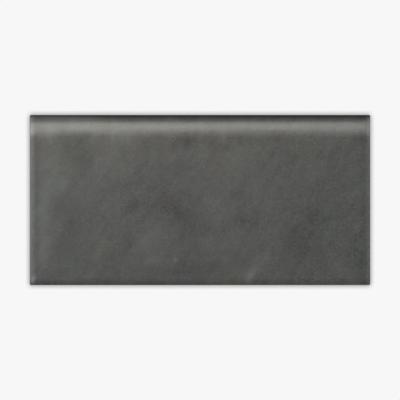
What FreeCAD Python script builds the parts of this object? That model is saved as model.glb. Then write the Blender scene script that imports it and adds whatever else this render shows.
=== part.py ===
# Bullnose wall tile, one pressed, glazed and fired piece, lying on its back.
# Origin: middle of the back. +X along the length, +Y towards the bullnosed long edge,
# +Z out of the glazed face. Millimetres.

import FreeCAD, Part
import math
import os
import Sketcher
from enum import IntEnum
from FreeCAD import Vector

doc = FreeCAD.newDocument("bullnose_tile")

# Driving dimensions
sheet = doc.addObject("Spreadsheet::Sheet", "Sizes")
driving = [
    ("tileLength", 150, "along the bullnosed edge"),
    ("tileWidth", 75, "from the plain long edge to the tip of the nose"),
    ("tileThickness", 8, "back to glazed face"),
    ("noseReach", 10, "how far in from the tip the face starts to fall"),
    ("noseLand", 1.5, "upright strip left below the nose"),
    ("shoulderTilt", 18, "degrees of fall where the shoulder arc hands over to the nose arc"),
    ("cushionReach", 3, "width of the soft fall along the three plain edges"),
    ("cushionDrop", 0.35, "depth of that fall at the edge"),
    ("arrisRadius", 0.3, "rounding of the face edges and of the upright corners"),
    ("backBevel", 0.2, "small bevel round the back"),
    ("keyPitch", 14, "spacing of the keying cells in the back"),
    ("keyRib", 2.5, "width of the ribs between the cells"),
    ("keyDepth", 0.7, "depth of the cells"),
    ("keyDraft", 25, "degrees of draft on the cell walls"),
    ("keyCorner", 1.5, "corner radius of a cell"),
    ("endBorder", 4, "least plain border at the two ends of the back"),
    ("plainBorder", 6.5, "plain border along the plain long edge of the back"),
    ("noseBorder", 12, "least plain border under the nose"),
]
for row, (alias, value, note) in enumerate(driving, start=1):
    sheet.set(f"A{row}", alias)
    sheet.set(f"B{row}", str(value))
    sheet.set(f"C{row}", note)
    sheet.setAlias(f"B{row}", alias)

# Values worked out from them
derived = [
    ("keyColumns", "=floor((tileLength - 2 * endBorder + keyRib) / keyPitch)"),
    ("keyRows", "=floor((tileWidth - plainBorder - noseBorder + keyRib) / keyPitch)"),
    ("keyCell", "=keyPitch - keyRib"),
    ("bevelSize", "=min(backBevel; arrisRadius * 0.8)"),
]
for row, (alias, formula) in enumerate(derived, start=len(driving) + 1):
    sheet.set(f"A{row}", alias)
    sheet.set(f"B{row}", formula)
    sheet.setAlias(f"B{row}", alias)
doc.recompute()

body = doc.addObject("PartDesign::Body", "Tile")
body.Label = "bullnose_tile"
planes = {feature.Role: feature for feature in body.Origin.OriginFeatures}


class Point(IntEnum):
    """The two ends of a sketch element, as a sketch counts them."""
    START = 1
    END = 2


class Axis(IntEnum):
    """A sketch's own axes, as it counts them."""
    LEVEL = -1
    UPRIGHT = -2


START, END = Point.START, Point.END
ORIGIN = (Axis.LEVEL, START)


def size(alias):
    return float(sheet.get(alias))


def new_sketch(name, plane):
    sketch = body.newObject("Sketcher::SketchObject", name)
    sketch.AttachmentSupport = [(planes[plane], "")]
    sketch.MapMode = "FlatFace"
    return sketch


def line(sketch, x1, y1, x2, y2):
    return sketch.addGeometry(Part.LineSegment(Vector(x1, y1, 0), Vector(x2, y2, 0)))


def arc(sketch, x, y, radius, first_deg, last_deg):
    circle = Part.Circle(Vector(x, y, 0), Vector(0, 0, 1), radius)
    span = math.radians(first_deg), math.radians(last_deg)
    return sketch.addGeometry(Part.ArcOfCircle(circle, *span))


def rule(sketch, kind, *args):
    return sketch.addConstraint(Sketcher.Constraint(kind, *args))


def dimension(sketch, name, formula, kind, *args):
    index = rule(sketch, kind, *args)
    sketch.renameConstraint(index, name)
    sketch.setExpression(f"Constraints.{name}", formula)


def draw_section():
    """The tile cut across its length: plain edge on the left, nose on the right."""
    sketch = new_sketch("Section", "YZ_Plane")
    half = size("tileWidth") / 2
    top = size("tileThickness")
    low = -size("cushionDrop")
    reach = size("noseReach")
    land = size("noseLand")
    fall = top - land
    tilt = size("shoulderTilt")
    sine, cosine = math.sin(math.radians(tilt)), math.cos(math.radians(tilt))

    # Two arcs that meet at the tilt angle and together cover the reach and the fall.
    scale = sine * cosine - (1 - sine) * (1 - cosine)
    nose_radius = (sine * fall - (1 - cosine) * reach) / scale
    shoulder_radius = (cosine * reach - (1 - sine) * fall) / scale

    cushion, drop = size("cushionReach"), size("cushionDrop")
    cushion_radius = (cushion ** 2 + drop ** 2) / (2 * drop)
    cushion_tilt = math.degrees(math.asin(cushion / cushion_radius))

    back = line(sketch, -half, low, half, low)
    land_side = line(sketch, half, low, half, land)
    nose = arc(sketch, half - nose_radius, land, nose_radius, 0, 90 - tilt)
    shoulder = arc(sketch, half - reach, top - shoulder_radius, shoulder_radius, 90 - tilt, 90)
    face = line(sketch, half - reach, top, -half + cushion, top)
    edge = arc(sketch, -half + cushion, top - cushion_radius, cushion_radius, 90, 90 + cushion_tilt)
    plain_side = line(sketch, -half, top - drop, -half, low)

    rule(sketch, "Vertical", land_side)
    rule(sketch, "Horizontal", face)
    rule(sketch, "Vertical", plain_side)
    rule(sketch, "Coincident", back, END, land_side, START)
    rule(sketch, "Tangent", land_side, END, nose, START)
    rule(sketch, "Tangent", nose, END, shoulder, START)
    rule(sketch, "Tangent", shoulder, END, face, START)
    rule(sketch, "Tangent", face, END, edge, START)
    rule(sketch, "Coincident", edge, END, plain_side, START)
    rule(sketch, "Coincident", plain_side, END, back, START)
    rule(sketch, "Symmetric", back, START, back, END, Axis.UPRIGHT)

    dimension(sketch, "width", "Sizes.tileWidth", "DistanceX", back, START, back, END, 2 * half)
    dimension(sketch, "thickness", "Sizes.tileThickness", "DistanceY", *ORIGIN, face, START, top)
    dimension(sketch, "spareBelow", "Sizes.cushionDrop", "DistanceY", back, START, *ORIGIN, -low)
    dimension(sketch, "land", "Sizes.noseLand", "DistanceY", *ORIGIN, land_side, END, land)
    dimension(sketch, "reach", "Sizes.noseReach", "DistanceX", shoulder, END, land_side, END, reach)
    dimension(sketch, "tilt", "Sizes.shoulderTilt * 1 deg", "Angle", shoulder, math.radians(tilt))
    dimension(sketch, "cushion", "Sizes.cushionReach", "DistanceX", edge, END, edge, START, cushion)
    dimension(sketch, "drop", "Sizes.cushionDrop", "DistanceY", edge, END, edge, START, drop)
    return sketch


def draw_dip_line():
    """The line that the section is carried along: level, with a soft dip at both ends."""
    sketch = new_sketch("DipLine", "XZ_Plane")
    half = size("tileLength") / 2
    reach, drop = size("cushionReach"), size("cushionDrop")
    radius = (reach ** 2 + drop ** 2) / (2 * drop)
    tilt = math.degrees(math.asin(reach / radius))

    level = line(sketch, -half + reach, 0, half - reach, 0)
    right = arc(sketch, half - reach, -radius, radius, 90 - tilt, 90)
    left = arc(sketch, -half + reach, -radius, radius, 90, 90 + tilt)

    rule(sketch, "PointOnObject", level, START, Axis.LEVEL)
    rule(sketch, "Symmetric", level, START, level, END, Axis.UPRIGHT)
    rule(sketch, "Tangent", level, END, right, END)
    rule(sketch, "Tangent", level, START, left, START)
    rule(sketch, "Symmetric", left, END, right, START, Axis.UPRIGHT)
    dimension(sketch, "length", "Sizes.tileLength", "DistanceX", left, END, right, START, 2 * half)
    dimension(sketch, "cushion", "Sizes.cushionReach", "DistanceX", right, END, right, START, reach)
    dimension(sketch, "drop", "Sizes.cushionDrop", "DistanceY", right, START, right, END, drop)
    return sketch


def draw_trim():
    """A rectangle larger than the tile, which trims the back flat."""
    sketch = new_sketch("BackTrimOutline", "XY_Plane")
    half_x = (size("tileLength") + size("tileThickness")) / 2
    half_y = (size("tileWidth") + size("tileThickness")) / 2
    low = line(sketch, -half_x, -half_y, half_x, -half_y)
    right = line(sketch, half_x, -half_y, half_x, half_y)
    high = line(sketch, half_x, half_y, -half_x, half_y)
    left = line(sketch, -half_x, half_y, -half_x, -half_y)
    sides = [low, right, high, left]
    for one, following in zip(sides, sides[1:] + sides[:1]):
        rule(sketch, "Coincident", one, END, following, START)
    rule(sketch, "Horizontal", low)
    rule(sketch, "Horizontal", high)
    rule(sketch, "Vertical", right)
    rule(sketch, "Vertical", left)
    rule(sketch, "Symmetric", low, START, high, START, *ORIGIN)
    formula = "Sizes.tileLength + Sizes.tileThickness"
    dimension(sketch, "across", formula, "DistanceX", low, START, low, END, 2 * half_x)
    formula = "Sizes.tileWidth + Sizes.tileThickness"
    dimension(sketch, "along", formula, "DistanceY", right, START, right, END, 2 * half_y)
    return sketch


def draw_key_cell():
    """One keying cell at the plain edge's left corner of the back, a square with round corners."""
    sketch = new_sketch("KeyCell", "XY_Plane")
    cell, corner = size("keyCell"), size("keyCorner")
    left = -(size("keyColumns") * size("keyPitch") - size("keyRib")) / 2
    front = -size("tileWidth") / 2 + size("plainBorder")
    right, rear = left + cell, front + cell

    sides = [
        line(sketch, left + corner, front, right - corner, front),
        line(sketch, right, front + corner, right, rear - corner),
        line(sketch, right - corner, rear, left + corner, rear),
        line(sketch, left, rear - corner, left, front + corner),
    ]
    corners = [
        arc(sketch, right - corner, front + corner, corner, 270, 360),
        arc(sketch, right - corner, rear - corner, corner, 0, 90),
        arc(sketch, left + corner, rear - corner, corner, 90, 180),
        arc(sketch, left + corner, front + corner, corner, 180, 270),
    ]
    for side, turn, following in zip(sides, corners, sides[1:] + sides[:1]):
        rule(sketch, "Tangent", side, END, turn, START)
        rule(sketch, "Tangent", turn, END, following, START)
    for turn in corners[1:]:
        rule(sketch, "Equal", corners[0], turn)
    rule(sketch, "Horizontal", sides[0])
    rule(sketch, "Vertical", sides[1])

    dimension(sketch, "corner", "Sizes.keyCorner", "Radius", corners[0], corner)
    dimension(sketch, "cellX", "Sizes.keyCell", "DistanceX", sides[3], START, sides[1], START, cell)
    dimension(sketch, "cellY", "Sizes.keyCell", "DistanceY", sides[0], START, sides[2], START, cell)
    formula = "(Sizes.keyColumns * Sizes.keyPitch - Sizes.keyRib) / 2"
    dimension(sketch, "fieldLeft", formula, "DistanceX", sides[3], START, *ORIGIN, -left)
    formula = "Sizes.tileWidth / 2 - Sizes.plainBorder"
    dimension(sketch, "fieldFront", formula, "DistanceY", sides[0], START, *ORIGIN, -front)
    return sketch


def edge_names(shape, wanted):
    names = []
    for index, edge in enumerate(shape.Edges, start=1):
        if wanted(edge.BoundBox):
            names.append(f"Edge{index}")
    return names


NEAR = 1e-4


def on_end(box):
    half = size("tileLength") / 2
    return box.XLength < NEAR and abs(abs(box.Center.x) - half) < NEAR


def on_back(box):
    return abs(box.ZMin) < NEAR and abs(box.ZMax) < NEAR


def on_plain_side(box):
    half = size("tileWidth") / 2
    return box.YLength < NEAR and abs(box.Center.y + half) < NEAR


def volume_of(feature):
    doc.recompute()
    return feature.Shape.Volume


# The pressed form: the section carried along the dip line without turning
blank = body.newObject("PartDesign::AdditivePipe", "PressedForm")
blank.Profile = draw_section()
blank.Spine = draw_dip_line()
blank.Mode = "Fixed"
blank_volume = volume_of(blank)

back_trim = body.newObject("PartDesign::Pocket", "BackTrim")
back_trim.Profile = draw_trim()
back_trim.Type = "ThroughAll"
trimmed_volume = volume_of(back_trim)

# Rounded edges of the glazed face, down the nose's ends and the upright corners
arris = body.newObject("PartDesign::Fillet", "Arris")
arris.Base = (
    back_trim,
    edge_names(
        back_trim.Shape,
        lambda box: (on_end(box) or on_plain_side(box)) and not on_back(box),
    ),
)
arris.setExpression("Radius", "Sizes.arrisRadius")
rounded_volume = volume_of(arris)

bevel = body.newObject("PartDesign::Chamfer", "BackBevel")
bevel.Base = (arris, edge_names(arris.Shape, on_back))
bevel.setExpression("Size", "Sizes.bevelSize")
bevelled_volume = volume_of(bevel)

# Keying cells pressed into the back
key_outline = draw_key_cell()
key_cut = body.newObject("PartDesign::Pocket", "KeyCut")
key_cut.Profile = key_outline
key_cut.Reversed = True
key_cut.setExpression("Length", "Sizes.keyDepth")
key_cut.setExpression("TaperAngle", "-Sizes.keyDraft * 1 deg")
one_cell_volume = bevelled_volume - volume_of(key_cut)

key_field = body.newObject("PartDesign::MultiTransform", "KeyField")
key_field.Originals = [key_cut]
key_steps = []
for name, axis, count in [("KeyColumns", "H_Axis", "keyColumns"), ("KeyRows", "V_Axis", "keyRows")]:
    step = body.newObject("PartDesign::LinearPattern", name)
    step.Direction = (key_outline, [axis])
    step.Mode = "Spacing"
    step.setExpression("Offset", "Sizes.keyPitch")
    step.setExpression("Occurrences", f"Sizes.{count}")
    key_steps.append(step)
key_field.Transformations = key_steps
body.Tip = key_field
all_cells_volume = bevelled_volume - volume_of(key_field)

# Checks before anything is written
for item in doc.Objects:
    assert not {"Invalid", "Error"} & set(item.State), f"{item.Name} failed: {item.State}"
for sketch in doc.findObjects("Sketcher::SketchObject"):
    assert sketch.solve() == 0, f"{sketch.Name} does not solve"
shape = body.Shape
assert not shape.isNull() and shape.isValid() and len(shape.Solids) == 1
assert trimmed_volume < blank_volume
assert bevelled_volume < rounded_volume < trimmed_volume
cells = size("keyColumns") * size("keyRows")
assert abs(all_cells_volume - cells * one_cell_volume) < 1e-3 * all_cells_volume

os.makedirs("parts", exist_ok=True)
shape.exportStep(f"parts/{body.Label}.step")
print(body.Label, "box", shape.BoundBox)
print("volume", round(shape.Volume / 1000, 2), "cm3, cells", int(cells))
print("one cell", round(one_cell_volume, 2), "mm3, faces", len(shape.Faces))
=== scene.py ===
import math

import bmesh
import bpy
import numpy as np
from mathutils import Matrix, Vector, noise


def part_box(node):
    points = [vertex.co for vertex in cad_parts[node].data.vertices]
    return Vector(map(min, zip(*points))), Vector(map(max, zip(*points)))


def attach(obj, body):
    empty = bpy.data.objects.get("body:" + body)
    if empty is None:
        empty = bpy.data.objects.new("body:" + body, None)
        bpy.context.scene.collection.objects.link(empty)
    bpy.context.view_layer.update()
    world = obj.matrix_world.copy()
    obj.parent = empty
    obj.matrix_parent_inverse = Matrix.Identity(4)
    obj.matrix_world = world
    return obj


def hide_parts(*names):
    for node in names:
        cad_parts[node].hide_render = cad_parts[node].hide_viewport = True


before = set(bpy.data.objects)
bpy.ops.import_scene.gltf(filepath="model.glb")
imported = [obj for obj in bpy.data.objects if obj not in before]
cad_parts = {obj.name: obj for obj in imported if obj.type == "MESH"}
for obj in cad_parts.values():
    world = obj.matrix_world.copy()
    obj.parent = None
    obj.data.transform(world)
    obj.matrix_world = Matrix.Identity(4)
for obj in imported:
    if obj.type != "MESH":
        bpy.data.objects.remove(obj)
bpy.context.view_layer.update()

halfLength, halfWidth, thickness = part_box("bullnose_tile")[1]
mm = 0.001
white = (1, 1, 1, 1)


# One socket of a node tree, so that sums on sockets read as plain expressions
class Wire:
    def __init__(self, bench, socket):
        self.bench = bench
        self.socket = socket

    def out(self, name):
        return Wire(self.bench, self.socket.node.outputs[name])

    def math(self, operation, *others):
        return self.bench.math(operation, self, *others)

    def __add__(self, other):
        return self.math("ADD", other)

    def __radd__(self, other):
        return self.math("ADD", other)

    def __sub__(self, other):
        return self.math("SUBTRACT", other)

    def __rsub__(self, other):
        return self.bench.math("SUBTRACT", other, self)

    def __mul__(self, other):
        return self.math("MULTIPLY", other)

    def __rmul__(self, other):
        return self.math("MULTIPLY", other)

    def __truediv__(self, other):
        return self.math("DIVIDE", other)

    def __rtruediv__(self, other):
        return self.bench.math("DIVIDE", other, self)

    def least(self, other):
        return self.math("MINIMUM", other)

    def most(self, other):
        return self.math("MAXIMUM", other)

    # Smooth change between two values, from one place to another
    def ramp(self, start, end, first, last):
        sockets = {
            "Value": self, "From Min": start, "From Max": end,
            "To Min": first, "To Max": last,
        }
        return self.bench.node("ShaderNodeMapRange", {"interpolation_type": "SMOOTHSTEP"}, sockets)

    def rise(self, start, end, full=1.0):
        return self.ramp(start, end, 0.0, full)

    def fall(self, start, end, full=1.0):
        return self.ramp(start, end, full, 0.0)


# A node tree, and the one way to add a node to it
class Bench:
    def __init__(self, tree):
        self.tree = tree

    def node(self, kind, settings=None, sockets=None, out=0):
        made = self.tree.nodes.new(kind)
        for name, value in (settings or {}).items():
            setattr(made, name, value)
        for key, value in (sockets or {}).items():
            if isinstance(value, Wire):
                self.tree.links.new(value.socket, made.inputs[key])
            else:
                made.inputs[key].default_value = value
        return Wire(self, made.outputs[out]) if made.outputs else None

    def math(self, operation, *values):
        return self.node("ShaderNodeMath", {"operation": operation}, dict(enumerate(values)))

    def blend(self, factor, first, second):
        sockets = {0: factor, 6: first, 7: second}
        return self.node("ShaderNodeMix", {"data_type": "RGBA"}, sockets, 2)

    def tint(self, colour, factor):
        sockets = {0: colour, "Scale": factor}
        return self.node("ShaderNodeVectorMath", {"operation": "SCALE"}, sockets)


def newTree(name, inputs):
    tree = bpy.data.node_groups.new(name, "GeometryNodeTree")
    for label, kind in inputs.items():
        tree.interface.new_socket(name=label, in_out="INPUT", socket_type="NodeSocket" + kind)
    tree.interface.new_socket(name="Geometry", in_out="OUTPUT", socket_type="NodeSocketGeometry")
    bench = Bench(tree)
    source = tree.nodes.new("NodeGroupInput")
    return bench, {label: Wire(bench, source.outputs[label]) for label in inputs}


def endTree(bench, geometry, material):
    real = bench.node("GeometryNodeRealizeInstances", {}, {"Geometry": geometry})
    dressed = bench.node("GeometryNodeSetMaterial", {}, {"Geometry": real, "Material": material})
    bench.node("NodeGroupOutput", {}, {"Geometry": dressed})


def runTree(thing, bench, values):
    modifier = thing.modifiers.new(bench.tree.name, "NODES")
    modifier.node_group = bench.tree
    for item in bench.tree.interface.items_tree:
        if item.in_out == "INPUT" and item.name in values:
            modifier[item.identifier] = values[item.name]
    ready = thing.evaluated_get(bpy.context.evaluated_depsgraph_get())
    mesh = bpy.data.meshes.new_from_object(ready)
    thing.modifiers.remove(modifier)
    thing.data = mesh


def newThing(name, mesh):
    thing = bpy.data.objects.new(name, mesh)
    bpy.context.scene.collection.objects.link(thing)
    return thing


# The tile's form: its section, and the line with a dip at both ends that the section follows
tile = {
    "noseReach": 10 * mm,      # how far in from the tip the face starts to fall
    "noseLand": 1.5 * mm,      # upright strip below the nose
    "shoulderTilt": 18,        # degrees, where the shoulder arc hands over to the nose arc
    "cushionReach": 3 * mm,    # soft fall along the three plain edges
    "cushionDrop": 0.35 * mm,
    "arris": 0.3 * mm,
    "backBevel": 0.2 * mm,
    "meshStep": 0.6 * mm,
    "fineStep": 0.3 * mm,
    "arrisStep": 0.08 * mm,
    "fewestParts": 4,          # of an arc
    "endCushionParts": 8,
    "endArrisParts": 6,
    "sameSpot": 0.001 * mm,    # points nearer than this are one
}


def noseArcs():
    reach = tile["noseReach"]
    fall = thickness - tile["noseLand"]
    sine = math.sin(math.radians(tile["shoulderTilt"]))
    cosine = math.cos(math.radians(tile["shoulderTilt"]))
    scale = sine * cosine - (1 - sine) * (1 - cosine)
    noseRadius = (sine * fall - (1 - cosine) * reach) / scale
    shoulderRadius = (cosine * reach - (1 - sine) * fall) / scale
    return noseRadius, shoulderRadius


# The cushion arc's radius, the tilt where the arris arc touches it, and the depth of the
# arris arc's centre
def cushionArris():
    reach, drop, arris = tile["cushionReach"], tile["cushionDrop"], tile["arris"]
    radius = (reach ** 2 + drop ** 2) / (2 * drop)
    across = reach - arris
    depth = radius - math.sqrt((radius - arris) ** 2 - across ** 2)
    return radius, math.degrees(math.asin(across / (radius - arris))), depth


def arcPoints(centreY, centreZ, radius, first, last, step):
    count = max(tile["fewestParts"], round(math.radians(abs(last - first)) * radius / step))
    angles = np.radians(np.linspace(first, last, count + 1))
    return [(centreY + radius * math.cos(a), centreZ + radius * math.sin(a)) for a in angles]


def linePoints(start, end, step):
    length = math.dist(start, end)
    parts = np.linspace(0, 1, max(1, round(length / step)) + 1)
    return [(start[0] + (end[0] - start[0]) * t, start[1] + (end[1] - start[1]) * t) for t in parts]


# The section, round from the back: land, nose, shoulder, face, cushion, arris, plain side, back
def sectionOutline():
    noseRadius, shoulderRadius = noseArcs()
    cushionRadius, cushionTilt, arrisDepth = cushionArris()
    tilt, bevel, arris = tile["shoulderTilt"], tile["backBevel"], tile["arris"]
    fine, coarse = tile["fineStep"], tile["meshStep"]
    faceEnd = -halfWidth + tile["cushionReach"]
    shoulderY = halfWidth - tile["noseReach"]
    arrisZ = thickness - arrisDepth
    tipY = halfWidth - noseRadius
    shoulderZ = thickness - shoulderRadius
    cushionZ = thickness - cushionRadius
    runs = [
        [(halfWidth - bevel, 0)],
        linePoints((halfWidth, bevel), (halfWidth, tile["noseLand"]), fine),
        arcPoints(tipY, tile["noseLand"], noseRadius, 0, 90 - tilt, fine),
        arcPoints(shoulderY, shoulderZ, shoulderRadius, 90 - tilt, 90, coarse),
        linePoints((shoulderY, thickness), (faceEnd, thickness), coarse),
        arcPoints(faceEnd, cushionZ, cushionRadius, 90, 90 + cushionTilt, fine),
        arcPoints(-halfWidth + arris, arrisZ, arris, 90 + cushionTilt, 180, tile["arrisStep"]),
        linePoints((-halfWidth, arrisZ), (-halfWidth, bevel), coarse),
        [(-halfWidth + bevel, 0)],
    ]
    points = []
    for run in runs:
        for point in run:
            if not points or math.dist(points[-1], point) > tile["sameSpot"]:
                points.append(point)
    return points


# Outward direction at each point of a closed outline
def outwards(points):
    found = []
    for before, after in zip(points[-1:] + points[:-1], points[1:] + points[:1]):
        along = Vector((after[0] - before[0], after[1] - before[1])).normalized()
        found.append((0.0, along.y, -along.x))
    return found


# How much of the end dip each point of the section takes: none at the back, all of it on top
def dipShares(points):
    top = thickness - tile["cushionDrop"] - tile["arris"]
    shares = []
    for y, z in points:
        roof = tile["noseLand"] if y > 0 else top
        shares.append(min(1.0, max(0.0, (z - tile["backBevel"]) / (roof - tile["backBevel"]))))
    return shares


# Stations along the length: place, how far the section is drawn in there, and how far it dips
def stations():
    radius, tilt = cushionArris()[:2]
    arris = tile["arris"]
    start = halfLength - tile["cushionReach"]
    centre = halfLength - arris
    half = [(x, 0.0, 0.0) for x in np.linspace(0, start, round(start / tile["meshStep"]) + 1)]
    touch = centre + arris * math.sin(math.radians(tilt))
    for x in np.linspace(start, touch, tile["endCushionParts"] + 1)[1:]:
        half.append((x, 0.0, radius - math.sqrt(radius ** 2 - (x - start) ** 2)))
    deepest = half[-1][2]
    for angle in np.radians(np.linspace(tilt, 90, tile["endArrisParts"] + 1))[1:]:
        drawn = arris * (math.cos(math.radians(tilt)) - math.cos(angle))
        half.append((centre + arris * math.sin(angle), drawn, deepest))
    mirrored = [(-x, drawn, dip) for x, drawn, dip in reversed(half[1:])]
    return mirrored + half


def pointMesh(name, places, extras):
    mesh = bpy.data.meshes.new(name)
    mesh.from_pydata(places, [(i, i + 1) for i in range(len(places) - 1)], [])
    for key, values in extras.items():
        vector = isinstance(values[0], tuple)
        layer = mesh.attributes.new(key, "FLOAT_VECTOR" if vector else "FLOAT", "POINT")
        flat = np.array(values, dtype=float).ravel()
        layer.data.foreach_set("vector" if vector else "value", flat)
    return newThing(name, mesh)


# Geometry Nodes: a grid whose rows are stations and whose columns are points of the section
def pressedFormTree():
    inputs = {"Section": "Object", "Stations": "Object", "Material": "Material"}
    bench, given = newTree("pressedForm", inputs)
    outline = bench.node("GeometryNodeObjectInfo", {}, {"Object": given["Section"]}, "Geometry")
    spine = bench.node("GeometryNodeObjectInfo", {}, {"Object": given["Stations"]}, "Geometry")
    around = bench.node("GeometryNodeAttributeDomainSize", {}, {0: outline}, "Point Count")
    along = bench.node("GeometryNodeAttributeDomainSize", {}, {0: spine}, "Point Count")
    sockets = {"Vertices X": along, "Vertices Y": around + 1}
    grid = bench.node("GeometryNodeMeshGrid", {}, sockets, "Mesh")
    index = bench.node("GeometryNodeInputIndex")
    nudge = 1e-4    # keeps a quotient that is a whole number from being rounded down
    row = (index / (around + 1) + nudge).math("FLOOR")
    column = (index - row * (around + 1)).math("FLOORED_MODULO", around)
    place = bench.node("GeometryNodeInputPosition")

    def named(name, kind):
        return bench.node("GeometryNodeInputNamedAttribute", {"data_type": kind}, {"Name": name})

    def sample(geometry, value, at, kind):
        sockets = {"Geometry": geometry, "Value": value, "Index": at}
        return bench.node("GeometryNodeSampleIndex", {"data_type": kind}, sockets)

    def split(vector):
        return bench.node("ShaderNodeSeparateXYZ", {}, {0: vector})

    section = split(sample(outline, place, column, "FLOAT_VECTOR"))
    station = split(sample(spine, place, row, "FLOAT_VECTOR"))
    outward = split(sample(outline, named("outward", "FLOAT_VECTOR"), column, "FLOAT_VECTOR"))
    dipShare = sample(outline, named("dipShare", "FLOAT"), column, "FLOAT")
    drawShare = sample(outline, named("drawShare", "FLOAT"), column, "FLOAT")
    drawn, dip = station.out("Y"), station.out("Z")
    y = section.out("Y") - outward.out("Y") * drawn * drawShare
    z = section.out("Z") - outward.out("Z") * drawn * drawShare - dip * dipShare
    placed = bench.node("ShaderNodeCombineXYZ", {}, {"X": station, "Y": y, "Z": z})
    skin = bench.node("GeometryNodeSetPosition", {}, {"Geometry": grid, "Position": placed})
    sockets = {"Geometry": skin, "Distance": tile["sameSpot"]}
    closed = bench.node("GeometryNodeMergeByDistance", {}, sockets)
    endTree(bench, closed, given["Material"])
    return bench


def closeEnds(thing):
    shape = bmesh.new()
    shape.from_mesh(thing.data)
    rims = [edge for edge in shape.edges if edge.is_boundary]
    bmesh.ops.holes_fill(shape, edges=rims, sides=0)
    bmesh.ops.recalc_face_normals(shape, faces=shape.faces)
    shape.to_mesh(thing.data)
    shape.free()


# At the tile's ends the section is drawn in all round, and its two back corners half as far
def makePressedForm(material):
    outline = sectionOutline()
    section = pointMesh("section", [(0.0, y, z) for y, z in outline], {
        "outward": outwards(outline),
        "dipShare": dipShares(outline),
        "drawShare": [0.5 if z < tile["backBevel"] / 2 else 1.0 for y, z in outline],
    })
    spine = pointMesh("stations", stations(), {})
    thing = newThing("glazedTile", bpy.data.meshes.new("glazedTile"))
    runTree(thing, pressedFormTree(), {"Section": section, "Stations": spine, "Material": material})
    closeEnds(thing)
    bpy.data.objects.remove(section)
    bpy.data.objects.remove(spine)
    print("pressed form:", len(thing.data.vertices), "points")
    return thing


# The keying cells pressed into the back
keying = {
    "pitch": 14 * mm,
    "rib": 2.5 * mm,
    "depth": 0.7 * mm,
    "draft": 25,                # degrees
    "corner": 1.5 * mm,
    "columns": 10,
    "rows": 4,
    "plainBorder": 6.5 * mm,
    "softEdge": 0.06 * mm,
    "cornerSteps": 5,
}


def cellRing(half, corner):
    ring = []
    steps = keying["cornerSteps"]
    for quarter, (sideX, sideY) in enumerate([(1, 1), (-1, 1), (-1, -1), (1, -1)]):
        for part in range(steps + 1):
            angle = math.radians(90 * (quarter + part / steps))
            x = sideX * (half - corner) + corner * math.cos(angle)
            y = sideY * (half - corner) + corner * math.sin(angle)
            ring.append((x, y))
    return ring


# A plug in the shape of one cell, with a soft mouth and a soft floor edge
def makeCellPlug():
    depth, soft = keying["depth"], keying["softEdge"]
    half = (keying["pitch"] - keying["rib"]) / 2
    slope = math.tan(math.radians(keying["draft"]))
    levels = [
        (-depth, depth),
        (0.0, soft),
        (2 * soft, -2 * soft * slope),
        (depth - 3 * soft, -(depth - 3 * soft) * slope),
        (depth - soft, -(depth - soft) * slope - soft),
        (depth, -depth * slope - 4 * soft),
    ]
    shape = bmesh.new()
    rings = []
    for z, grow in levels:
        corner = keying["corner"] + grow
        rings.append([shape.verts.new((x, y, z)) for x, y in cellRing(half + grow, corner)])
    for lower, upper in zip(rings, rings[1:]):
        for i, vert in enumerate(lower):
            j = (i + 1) % len(lower)
            shape.faces.new((vert, lower[j], upper[j], upper[i]))
    shape.faces.new(reversed(rings[0]))
    shape.faces.new(rings[-1])
    mesh = bpy.data.meshes.new("cellPlug")
    bmesh.ops.recalc_face_normals(shape, faces=shape.faces)
    shape.to_mesh(mesh)
    shape.free()
    return newThing("cellPlug", mesh)


# Geometry Nodes: the plug set out on a grid and cut from the back
def keyedBackTree():
    inputs = {
        "Geometry": "Geometry", "Plug": "Object", "Columns": "Int", "Rows": "Int",
        "Pitch": "Float", "Field Middle": "Float", "Material": "Material",
    }
    bench, given = newTree("keyedBack", inputs)
    pitch = given["Pitch"]
    sockets = {
        "Size X": (given["Columns"] - 1) * pitch, "Size Y": (given["Rows"] - 1) * pitch,
        "Vertices X": given["Columns"], "Vertices Y": given["Rows"],
    }
    grid = bench.node("GeometryNodeMeshGrid", {}, sockets, "Mesh")
    middle = bench.node("ShaderNodeCombineXYZ", {}, {"Y": given["Field Middle"]})
    field = bench.node("GeometryNodeTransform", {}, {"Geometry": grid, "Translation": middle})
    plug = bench.node("GeometryNodeObjectInfo", {}, {"Object": given["Plug"]}, "Geometry")
    plugs = bench.node("GeometryNodeInstanceOnPoints", {}, {"Points": field, "Instance": plug})
    real = bench.node("GeometryNodeRealizeInstances", {}, {"Geometry": plugs})
    settings = {"operation": "DIFFERENCE", "solver": "EXACT"}
    sockets = {"Mesh 1": given["Geometry"], "Mesh 2": real}
    cut = bench.node("GeometryNodeMeshBoolean", settings, sockets)
    endTree(bench, cut, given["Material"])
    return bench


def keyTheBack(thing, material):
    plug = makeCellPlug()
    plug.data.materials.append(material)
    span = keying["rows"] * keying["pitch"] - keying["rib"]
    runTree(thing, keyedBackTree(), {
        "Plug": plug,
        "Columns": keying["columns"],
        "Rows": keying["rows"],
        "Pitch": keying["pitch"],
        "Field Middle": -halfWidth + keying["plainBorder"] + span / 2,
        "Material": material,
    })
    bpy.data.objects.remove(plug)
    thing.data.materials.clear()
    thing.data.materials.append(material)
    thing.data.polygons.foreach_set("material_index", [0] * len(thing.data.polygons))
    print("keyed back:", len(thing.data.vertices), "points")


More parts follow.
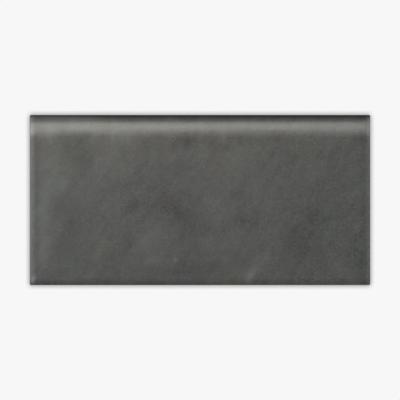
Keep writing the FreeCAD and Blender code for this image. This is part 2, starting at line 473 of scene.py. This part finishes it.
# Hand-pressed unevenness of the face. Each swell: middle x and y in mm, half length and half
# width in mm, turn in degrees, and height, where 1 is a full swell and -1 a full hollow.
face = {
    "swellRise": 0.07 * mm,
    "ripples": [(17 * mm, 3.7, 0.07 * mm), (5 * mm, 11.3, 0.015 * mm)],   # size, seed and rise
    "facesUp": 0.5,            # share of the normal from which a point counts as facing up
    "sharpAngle": 32,          # degrees
    "swells": [
        (-64.5, 15, 6, 6, 0, 0.9),
        (-62, 6, 4, 3, 50, 1.0),
        (-68.5, -3, 9, 2.5, 85, 1.5),
        (-69, -23, 6, 2, 80, 1.1),
        (-43.5, 13, 7, 3, 65, 0.8),
        (-35, 14, 6, 4, 60, 0.6),
        (18, 20, 6, 3, 60, 0.7),
        (9, 0, 9, 3, 55, 0.6),
        (24, 6, 8, 3, 80, 0.3),
        (-22.5, -18.5, 7, 2.5, 35, 0.9),
        (-21, -27.5, 2.5, 1.5, 20, 1.3),
        (-44, -22, 7, 2.5, 75, 0.5),
        (4.5, -21, 3, 2, 30, 0.4),
        (-11, -25, 3, 1.5, 70, 0.4),
        (27.5, -27.5, 4, 2.5, 30, 0.5),
        (23, -33, 2.5, 1.5, 40, 1.6),
        (32.5, -4, 3, 2, 100, 0.4),
        (-53.5, 21, 6, 4, 110, -0.5),
        (-29.5, -3.5, 4, 2.5, 20, -0.9),
        (-8.5, -8, 7, 4, 130, -1.0),
        (-15, -2, 4, 3, 10, -0.6),
        (-6, 25, 4, 2.5, 0, -0.9),
        (-32.5, 5.5, 7, 2, 10, -0.5),
        (21, -10, 6, 2.5, 15, -0.7),
        (18, 1.5, 2.5, 2, 0, -0.5),
        (44.5, -17, 8, 4.5, 75, -1.2),
        (48, -4, 4, 3, 0, -0.5),
        (56, -9, 4, 2, 10, -0.5),
        (-58, -17, 7, 3, 65, -0.8),
        (-31.5, -20.5, 3, 2, 60, -0.7),
        (-6, -32, 10, 3, 0, -0.7),
        (18, -27.5, 3, 2.5, 50, -0.4),
        (70, -27, 7, 3, 100, -0.7),
        (57, 7, 7, 2.5, 10, -0.3),
        (-66, 27, 5, 3, 0, 1.1),
        (-36, 26, 7, 3, 0, 1.1),
    ],
    # Paler marks in the glaze that have no height of their own, in the same terms: run, corner
    # bead with a painted highlight, and speck, then painted highlights along the nose at its left
    # and right ends, and along the shoulder at its left end, left of the middle and in the middle
    "paleMarksAndHighlights": [
        (22, -34, 2, 0.8, 60, 1.5),
        (-73.5, -35, 1.3, 0.7, 70, 5),
        (-11, -26.5, 0.6, 0.6, 0, 2.5),
        (-60, 35, 12, 1.1, 0, 1.5),
        (66, 30.5, 9, 1.5, 0, 0.6),
        (-66.5, 29, 4, 2, 0, 0.5),
        (-35, 28.5, 9, 2, 0, 0.9),
        (0, 29, 20, 1.5, 0, 0.4),
    ],
}


def swellAt(x, y, swells):
    total = np.zeros_like(x)
    for middleX, middleY, long, short, turn, height in swells:
        cosine, sine = math.cos(math.radians(turn)), math.sin(math.radians(turn))
        along = ((x - middleX) * cosine + (y - middleY) * sine) / long
        across = ((y - middleY) * cosine - (x - middleX) * sine) / short
        total += height * np.exp(-0.5 * (along ** 2 + across ** 2))
    return total


def rippleAt(places, size, seed):
    shift = Vector((seed, 0.0, 0.0))
    return np.array([noise.noise(Vector((x, y, 0.0)) / size + shift) for x, y in places[:, :2]])


def pressFaceByHand(thing):
    mesh = thing.data
    count = len(mesh.vertices)
    places = np.empty(count * 3)
    normals = np.empty(count * 3)
    mesh.vertices.foreach_get("co", places)
    mesh.vertices.foreach_get("normal", normals)
    places = places.reshape(-1, 3)
    facing = np.clip(normals.reshape(-1, 3)[:, 2], 0, 1)
    inMm = places / mm
    swell = swellAt(inMm[:, 0], inMm[:, 1], face["swells"])
    height = face["swellRise"] * swell
    for size, seed, rise in face["ripples"]:
        height += rise * rippleAt(places, size, seed)
    top = height[facing > face["facesUp"]].max()
    places[:, 2] += (height - top) * facing
    mesh.vertices.foreach_set("co", places.ravel())
    # Lighter on swells and darker in hollows: thinner and thicker glaze, with painted light and
    # shade of the relief
    toneAndLight = mesh.attributes.new("glazeToneAndLight", "FLOAT", "POINT")
    toneAndLight.data.foreach_set("value", swell + swellAt(inMm[:, 0], inMm[:, 1], face["paleMarksAndHighlights"]))
    mesh.shade_smooth()
    mesh.set_sharp_from_angle(angle=math.radians(face["sharpAngle"]))
    mesh.update()
    print("face pressed by hand:", round(top / mm, 3), "mm at most")


# Noise patterns on the tile: size in mm, detail and seed
clouds = {
    "lapWaves": (7, 2, 0),
    "lapFray": (1.3, 1, 0),
    "rimWaves": (5, 2, 0),
    "drifts": (14, 3, 0),
    "mottles": (4, 2, 31),
    "grain": (0.9, 1, 0),
    "greyPatches": (11, 3, 57),
    "greyGrain": (1.1, 1, 83),
    "yellowPatches": (5, 1, 19),
    "yellowGrain": (1.3, 1, 47),
    "mattPatches": (3, 2, 0),
    "peel": (1.6, 1, 0),
    "finePeel": (0.6, 1, 0),
    "sand": (0.5, 3, 0),
    "firedPatches": (9, 3, 0),
    "dustPatches": (4, 3, 0),
}

# Charcoal glaze on the face, fired clay where the glaze stops short. Sizes and places are in mm.
# Two numbers say where a change starts and ends, and a third says how strong it is. Clouds are
# given with their strengths.
glaze = {
    "greenColour": (0.0412, 0.0488, 0.0500, 1),
    "greyColour": (0.0488, 0.0488, 0.0492, 1),
    "yellowTinge": (1, 1, 0.87, 1),   # what the patches of a yellower cast keep of each colour
    "thinColour": (0.11, 0.11, 0.10, 1),
    "thinStrength": 0.7,
    "roughness": 0.38,
    "roughClouds": {"mattPatches": 0.12, "grain": 0.1},
    "coatHeight": 0.12,
    "peelClouds": {"peel": 0.008, "finePeel": 0.004},
    # The line where it stops
    "lap": 1.725,                     # how far the glaze runs down the plain sides
    "lapClouds": {"lapWaves": 1.6, "lapFray": 0.35},
    "lapFade": (-0.12, 0.12),
    "thinning": (-1.0, 0.0),          # from the line on the sides
    "bareRim": 0.45,                  # bare clay above the back, on the nose
    "rimClouds": {"rimWaves": 0.5},
    "rimFade": (-0.08, 0.08),
    # Light and dark, as shares of its own brightness, with painted light and shade among them
    "toneAndLightStrength": 0.28,
    "shadeClouds": {"drifts": 0.4, "mottles": 0.3, "grain": 0.7},
    "lightDots": {"spacing": 5.5, "radius": 0.5, "share": 0.4, "strength": 0.5},
    "darkDots": {"spacing": 6.5, "radius": 0.4, "share": 0.2, "strength": 0.35, "sink": 0.02},
    "streaks": {"lean": 58, "length": 14, "width": 3.5, "detail": 2, "strength": 0.45},
    "pinhole": {"middle": (-12, 27), "radius": 0.5, "strength": 0.9,
                "ringRadius": 1.0, "ringWidth": 0.5, "rimHighlightStrength": 0.4},
    # Pale and dark tongues over the shoulder, painted light and shade below the nose's highlight:
    # waves to a mm along and across, then where they set in and where they weaken
    "paintedHighlightTongues": {"waves": (0.22, 0.05), "detail": 3,
                "start": (19.0, 27.0, 0.9), "end": (29.0, 33.0, 0.6)},
    "endEdge": (0.4, 2.4),            # paler over the two ends: thinner glaze, with a painted highlight
    "endPaleAndHighlight": 0.35,
    "endHighlightNose": (26.0, 31.0, 2.0),      # painted highlight, more so where they meet the nose
    "endPaintedShade": {"start": (1.6, 3.0, 0.10), "end": (3.4, 5.2)},   # painted shade just inside them
    "frontShadeReach": (0.3, 2.6),          # painted shade along the plain long edge
    "frontShadeStrength": (0.16, 0.06),      # at its left end and at its right end
    "paintedNoseShade": (1.6, 4.4),               # painted shade below the face on the nose
    "paintedShadeSide": (0.0, 1.0),           # only on the half towards the nose
    "paintedShadeLowered": (-60, -35, 1.1),   # the painted shade sits this much lower at the left end
    "paintedShadeDarker": 0.66,
    # Shares of grey against green and of the yellow tinge
    "grey": {"base": 0.25, "patches": (-0.1, 0.1, 0.44), "clouds": {"greyGrain": 0.8},
             "noseward": (12.0, 31.0, 0.42), "endward": (25.0, 75.0, 0.15),
             "rightward": (0.0, 75.0, 0.3), "rightNose": (8.0, 31.0)},
    "yellow": {"base": 0.47, "patches": (0.1, 0.2, 0.35), "clouds": {"yellowGrain": 0.5},
               "noseward": (6.0, 29.0, 0.28), "endEdge": 0.4},
}
clay = {
    "colour": (0.47, 0.37, 0.27, 1),
    "darkColour": (0.30, 0.21, 0.14, 1),
    "dustColour": (0.62, 0.58, 0.52, 1),
    "roughness": 0.85,
    "darkShare": 0.08,
    "darkClouds": {"firedPatches": 0.8, "sand": 0.5},
    "bumpClouds": {"sand": 0.05, "firedPatches": 0.1},
    "burnt": (0.0, 0.9, 0.6),         # darker where it meets the glaze
    "iron": {"spacing": 2.6, "radius": 0.3, "share": 0.25, "strength": 0.7},
    "dustHeight": (0.02, 0.2),        # pale dust of the kiln shelf on the ribs of the back
    "dustPatches": (-0.15, 0.1, 0.8),
}
narrow = 0.01                         # width of a change that stands for a step


# The spot of the tile that is being shaded, and the patterns that depend on where it is, in mm
class Spot:
    def __init__(self, bench):
        self.bench = bench
        self.clouds = {}
        self.place = bench.tint(bench.node("ShaderNodeTexCoord", {}, {}, "Object"), 1 / mm)
        self.x = bench.node("ShaderNodeSeparateXYZ", {}, {0: self.place})
        self.y = self.x.out("Y")
        self.z = self.x.out("Z")
        self.fromEnd = halfLength / mm - self.x.math("ABSOLUTE")

    # Noise about zero
    def noise(self, vector, scale, detail):
        sockets = {"Vector": vector, "Scale": scale, "Detail": detail}
        return self.bench.node("ShaderNodeTexNoise", {}, sockets) - 0.5

    def noiseAlong(self, first, second, detail):
        vector = self.bench.node("ShaderNodeCombineXYZ", {}, {"X": first, "Y": second})
        return self.noise(vector, 1.0, detail)

    def cloud(self, name):
        if name not in self.clouds:
            size, detail, seed = clouds[name]
            sockets = {0: self.place, 1: (seed, seed, 0)}
            moved = self.bench.node("ShaderNodeVectorMath", {"operation": "ADD"}, sockets)
            self.clouds[name] = self.noise(moved, 1 / size, detail)
        return self.clouds[name]

    def cloudsOf(self, strengths):
        return sum(self.cloud(name) * strength for name, strength in strengths.items())

    def dots(self, kind):
        radius = kind["radius"] / kind["spacing"]
        sockets = {"Vector": self.place, "Scale": 1 / kind["spacing"]}
        cell = self.bench.node("ShaderNodeTexVoronoi", {}, sockets)
        chance = self.bench.node("ShaderNodeSeparateXYZ", {}, {0: cell.out("Color")})
        chosen = (1 - chance).rise(1 - kind["share"], 1 - kind["share"] + narrow)
        return cell.fall(radius / 2, radius) * chosen

    # How far below the face's own outline a point of a side lies
    def depth(self):
        wide, top, land = halfWidth / mm, thickness / mm, tile["noseLand"] / mm
        noseRadius, shoulderRadius = (radius / mm for radius in noseArcs())
        fromShoulder = (self.y - (wide - tile["noseReach"] / mm)).most(0.0)
        shoulderTop = (shoulderRadius ** 2 - fromShoulder * fromShoulder).most(0.0).math("SQRT")
        shoulderTop = shoulderTop + (top - shoulderRadius)
        fromTip = (self.y - (wide - noseRadius)).most(0.0)
        noseTop = (noseRadius ** 2 - fromTip * fromTip).most(0.0).math("SQRT") + land
        handOver = noseRadius * math.sin(math.radians(tile["shoulderTilt"]))
        onNose = fromTip.rise(handOver - narrow, handOver + narrow)
        return noseTop * onNose + shoulderTop * (1 - onNose) - self.z


# Brightness of the glaze as a share of its own, from the pressed relief, streaks, dots and edges,
# with painted light and shade over the relief, the shoulder, the ends, the pinhole and the front
# edge
def glazeShade(spot, endEdge, darkDots):
    x, y = spot.x, spot.y
    toneAndLight = spot.bench.node("ShaderNodeAttribute", {"attribute_name": "glazeToneAndLight"}, {}, "Fac")
    shade = toneAndLight * glaze["toneAndLightStrength"] + spot.cloudsOf(glaze["shadeClouds"]) + 1
    shade = shade + spot.dots(glaze["lightDots"]) * glaze["lightDots"]["strength"]
    shade = shade - darkDots * glaze["darkDots"]["strength"]

    streaks = glaze["streaks"]
    lean = math.radians(streaks["lean"])
    along = (x * math.cos(lean) + y * math.sin(lean)) / streaks["length"]
    aside = (y * math.cos(lean) - x * math.sin(lean)) / streaks["width"]
    shade = shade + spot.noiseAlong(along, aside, streaks["detail"]) * streaks["strength"]

    # Painted light and shade in tongues along the lower edge of the shoulder's highlight
    paintedHighlightTongues = glaze["paintedHighlightTongues"]
    along, across = paintedHighlightTongues["waves"]
    tongueLightShade = spot.noiseAlong(x * along, y * across, paintedHighlightTongues["detail"])
    shade = shade + tongueLightShade * y.rise(*paintedHighlightTongues["start"]) * (1 - y.rise(*paintedHighlightTongues["end"]))

    # A pinhole: painted highlight on its rim and painted shade in its hole
    hole = glaze["pinhole"]
    sockets = {0: spot.place, 1: (*hole["middle"], thickness / mm)}
    away = spot.bench.node("ShaderNodeVectorMath", {"operation": "DISTANCE"}, sockets, "Value")
    offRing = (away - hole["ringRadius"]).math("ABSOLUTE")
    shade = shade + offRing.fall(0.0, hole["ringWidth"], hole["rimHighlightStrength"])
    shade = shade - away.fall(0.0, hole["radius"], hole["strength"])

    # Thinner glaze and painted highlight over the two ends, strongest where they meet the nose
    shade = shade + endEdge * (y.rise(*glaze["endHighlightNose"]) + 1) * glaze["endPaleAndHighlight"]
    # Painted shade in a band just inside the two ends
    ring = glaze["endPaintedShade"]
    shade = shade - spot.fromEnd.rise(*ring["start"]) * spot.fromEnd.fall(*ring["end"])
    # Painted shade along the plain long edge, stronger at its left end
    darker = x.ramp(-halfLength / mm, halfLength / mm, *glaze["frontShadeStrength"])
    return shade - (y + halfWidth / mm).fall(*glaze["frontShadeReach"]) * darker


# Green-grey that drifts into grey, with patches of a yellower cast
def glazeTint(spot, endEdge):
    x, y = spot.x, spot.y
    share = glaze["grey"]
    grey = spot.cloud("greyPatches").rise(*share["patches"]) + spot.cloudsOf(share["clouds"])
    grey = grey + y.rise(*share["noseward"]) + share["base"]
    grey = grey - x.math("ABSOLUTE").rise(*share["endward"])
    grey = grey - x.rise(*share["rightward"]) * y.rise(*share["rightNose"])
    share = glaze["yellow"]
    yellow = spot.cloud("yellowPatches").rise(*share["patches"]) + spot.cloudsOf(share["clouds"])
    yellow = yellow + y.rise(*share["noseward"]) + share["base"]
    yellow = yellow - endEdge * share["endEdge"]
    colour = spot.bench.blend(grey.most(0.0).least(1.0), glaze["greenColour"], glaze["greyColour"])
    tinge = spot.bench.blend(yellow.most(0.0).least(1.0), white, glaze["yellowTinge"])
    return spot.bench.node("ShaderNodeVectorMath", {"operation": "MULTIPLY"}, {0: colour, 1: tinge})


def glazeShader(spot, glazed, thin):
    bench = spot.bench
    darkDots = spot.dots(glaze["darkDots"])
    endEdge = spot.fromEnd.fall(*glaze["endEdge"])
    # Painted shade on the lower nose, greyed to a neutral near-black
    below = thickness / mm - spot.z - spot.x.fall(*glaze["paintedShadeLowered"])
    paintedNoseShade = below.rise(*glaze["paintedNoseShade"]) * spot.y.rise(*glaze["paintedShadeSide"])
    shade = glazeShade(spot, endEdge, darkDots) * (1 - paintedNoseShade * glaze["paintedShadeDarker"])
    colour = bench.blend(paintedNoseShade, glazeTint(spot, endEdge), glaze["greyColour"])
    colour = bench.tint(colour, shade)
    colour = bench.blend(thin * glaze["thinStrength"], colour, glaze["thinColour"])
    rough = spot.cloudsOf(glaze["roughClouds"]) + glaze["roughness"]
    height = spot.cloudsOf(glaze["peelClouds"]) - darkDots * glaze["darkDots"]["sink"]
    height = height + glazed * glaze["coatHeight"]
    bump = bench.node("ShaderNodeBump", {}, {"Height": height, "Distance": mm})
    sockets = {"Base Color": colour, "Roughness": rough, "Normal": bump}
    return bench.node("ShaderNodeBsdfPrincipled", {}, sockets)


def clayShader(spot, edge):
    bench = spot.bench
    dark = spot.cloudsOf(clay["darkClouds"]) + clay["darkShare"]
    colour = bench.blend(dark, clay["colour"], clay["darkColour"])
    burnt = edge.fall(*clay["burnt"]) + spot.dots(clay["iron"]) * clay["iron"]["strength"]
    colour = bench.blend(burnt.least(1.0), colour, clay["darkColour"])
    dust = spot.z.fall(*clay["dustHeight"]) * spot.cloud("dustPatches").rise(*clay["dustPatches"])
    colour = bench.blend(dust, colour, clay["dustColour"])
    height = spot.cloudsOf(clay["bumpClouds"])
    bump = bench.node("ShaderNodeBump", {}, {"Height": height, "Distance": mm})
    sockets = {"Base Color": colour, "Roughness": clay["roughness"], "Normal": bump}
    return bench.node("ShaderNodeBsdfPrincipled", {}, sockets)


def tileMaterial():
    material = bpy.data.materials.new("charcoalGlazeOnClay")
    material.use_nodes = True
    material.node_tree.nodes.clear()
    bench = Bench(material.node_tree)
    spot = Spot(bench)
    edge = spot.depth() - spot.cloudsOf(glaze["lapClouds"]) - glaze["lap"]
    rim = spot.z - spot.cloudsOf(glaze["rimClouds"]) - glaze["bareRim"]
    glazed = edge.fall(*glaze["lapFade"]) * rim.rise(*glaze["rimFade"])
    thin = edge.rise(*glaze["thinning"])
    sockets = {0: glazed, 1: clayShader(spot, edge), 2: glazeShader(spot, glazed, thin)}
    both = bench.node("ShaderNodeMixShader", {}, sockets)
    bench.node("ShaderNodeOutputMaterial", {}, {"Surface": both})
    return material


# Lamps: direction from the tile in degrees, with azimuth 0 on the nose side and 90 at its right
# end, then distance and size in metres, power in watts and colour
lamps = {
    "noseSoftbox": {"azimuth": -28, "elevation": 62, "distance": 0.8, "size": (0.6, 0.2),
                    "power": 3.85, "colour": (1.0, 0.925, 0.90)},
    "noseBar": {"azimuth": 0, "elevation": 58, "distance": 0.8, "size": (1.2, 0.2),
                "power": 2.1, "colour": (1.0, 0.985, 0.935)},
    "noseFill": {"azimuth": -15, "elevation": 40, "distance": 0.8, "size": (1.0, 0.2),
                 "power": 2.6, "colour": (1.0, 0.955, 0.91)},
    "rightPanel": {"azimuth": 55, "elevation": 60, "distance": 0.8, "size": (0.3, 0.2),
                   "power": 0.6, "colour": (0.99, 1.0, 0.96)},
    "leftPanel": {"azimuth": -62, "elevation": 58, "distance": 0.8, "size": (0.3, 0.2),
                  "power": 0.66, "colour": (1.0, 0.95, 0.92)},
    "leftCorner": {"azimuth": -88, "elevation": 42, "distance": 0.4, "size": (0.2, 0.1),
                   "power": 0.34, "colour": (1.0, 0.98, 0.95)},
    "lowFront": {"azimuth": 180, "elevation": 7, "distance": 0.8, "size": (1.0, 0.1),
                 "power": 2.6, "colour": (1.0, 0.98, 0.95)},
    "farPanel": {"azimuth": 138, "elevation": 20, "distance": 0.8, "size": (0.7, 0.25),
                 "power": 0.6, "colour": (1.0, 0.98, 0.95)},
    "lowRight": {"azimuth": 90, "elevation": 7, "distance": 0.6, "size": (0.5, 0.08),
                 "power": 1.2, "colour": (1.0, 0.98, 0.95)},
}
room = {
    "backdrop": 0.93,
    "ambient": 0.11,
    "floorReach": 9.0,          # metres
    "paintedShadowReach": 2.3 * mm,      # painted contact shadow: the floor darkens this close to the tile
    "paintedShadowSamples": 16,
    "floorBounce": (0.06, 0.06, 0.06, 1),
}


def setLamps():
    for name, lamp in lamps.items():
        light = bpy.data.lights.new(name, "AREA")
        light.shape = "RECTANGLE"
        light.size, light.size_y = lamp["size"]
        light.energy = lamp["power"]
        light.color = lamp["colour"]
        azimuth, elevation = math.radians(lamp["azimuth"]), math.radians(lamp["elevation"])
        level = math.cos(elevation)
        toLamp = Vector((math.sin(azimuth) * level, math.cos(azimuth) * level, math.sin(elevation)))
        thing = bpy.data.objects.new(name, light)
        thing.location = toLamp * lamp["distance"]
        thing.rotation_euler = toLamp.to_track_quat("Z", "Y").to_euler()
        thing.visible_camera = False
        bpy.context.scene.collection.objects.link(thing)
    print("lamps:", len(lamps))


def setRoom():
    world = bpy.data.worlds.new("room")
    bpy.context.scene.world = world
    world.use_nodes = True
    world.node_tree.nodes.clear()
    bench = Bench(world.node_tree)
    camera = bench.node("ShaderNodeLightPath", {}, {}, "Is Camera Ray")
    strength = camera * (room["backdrop"] - room["ambient"]) + room["ambient"]
    sky = bench.node("ShaderNodeBackground", {}, {"Strength": strength})
    sky.socket.node.inputs["Color"].default_value = white
    bench.node("ShaderNodeOutputWorld", {}, {"Surface": sky})


def makeFloor():
    reach = room["floorReach"]
    turns = [math.radians(angle) for angle in (90, 210, 330)]
    mesh = bpy.data.meshes.new("floor")
    corners = [(reach * math.cos(a), reach * math.sin(a), 0) for a in turns]
    mesh.from_pydata(corners, [], [(0, 1, 2)])
    floor = newThing("floor", mesh)
    material = bpy.data.materials.new("paleFloor")
    material.use_nodes = True
    material.node_tree.nodes.clear()
    bench = Bench(material.node_tree)
    # Painted contact shadow: occlusion darkens the floor's even light near the tile
    sockets = {"Distance": room["paintedShadowReach"]}
    settings = {"samples": room["paintedShadowSamples"]}
    unshadowedShare = bench.node("ShaderNodeAmbientOcclusion", settings, sockets, "AO")
    seen = bench.node("ShaderNodeEmission", {}, {"Strength": unshadowedShare * room["backdrop"]})
    lit = bench.node("ShaderNodeBsdfDiffuse", {}, {"Color": room["floorBounce"]})
    camera = bench.node("ShaderNodeLightPath", {}, {}, "Is Camera Ray")
    both = bench.node("ShaderNodeMixShader", {}, {0: camera, 1: lit, 2: seen})
    bench.node("ShaderNodeOutputMaterial", {}, {"Surface": both})
    mesh.materials.append(material)
    print("floor and room")


# The photograph is 400 pixels across and the tile takes 340 of them, seen straight from above.
# Its outline is seen at the height of the edges.
view = {
    "lens": 1500,
    "sensor": 36,
    "farthest": 50,             # metres
    "pictureAcross": 400,
    "tileAcross": 340.3,
    "edgeHeight": 7 * mm,
}


def setCamera():
    camera = bpy.data.cameras.new("camera")
    camera.lens = view["lens"]
    camera.sensor_width = view["sensor"]
    camera.clip_end = view["farthest"]
    across = 2 * halfLength * view["pictureAcross"] / view["tileAcross"]
    thing = bpy.data.objects.new("camera", camera)
    thing.location = (0, 0, across * camera.lens / camera.sensor_width + view["edgeHeight"])
    bpy.context.scene.collection.objects.link(thing)
    bpy.context.scene.camera = thing
    bpy.context.scene.view_settings.view_transform = "Standard"
    print("camera at", round(thing.location.z, 3), "m")


setCamera()
tileFinish = tileMaterial()
glazedTile = makePressedForm(tileFinish)
keyTheBack(glazedTile, tileFinish)
pressFaceByHand(glazedTile)
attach(glazedTile, "root")
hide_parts("bullnose_tile")
setRoom()
makeFloor()
setLamps()
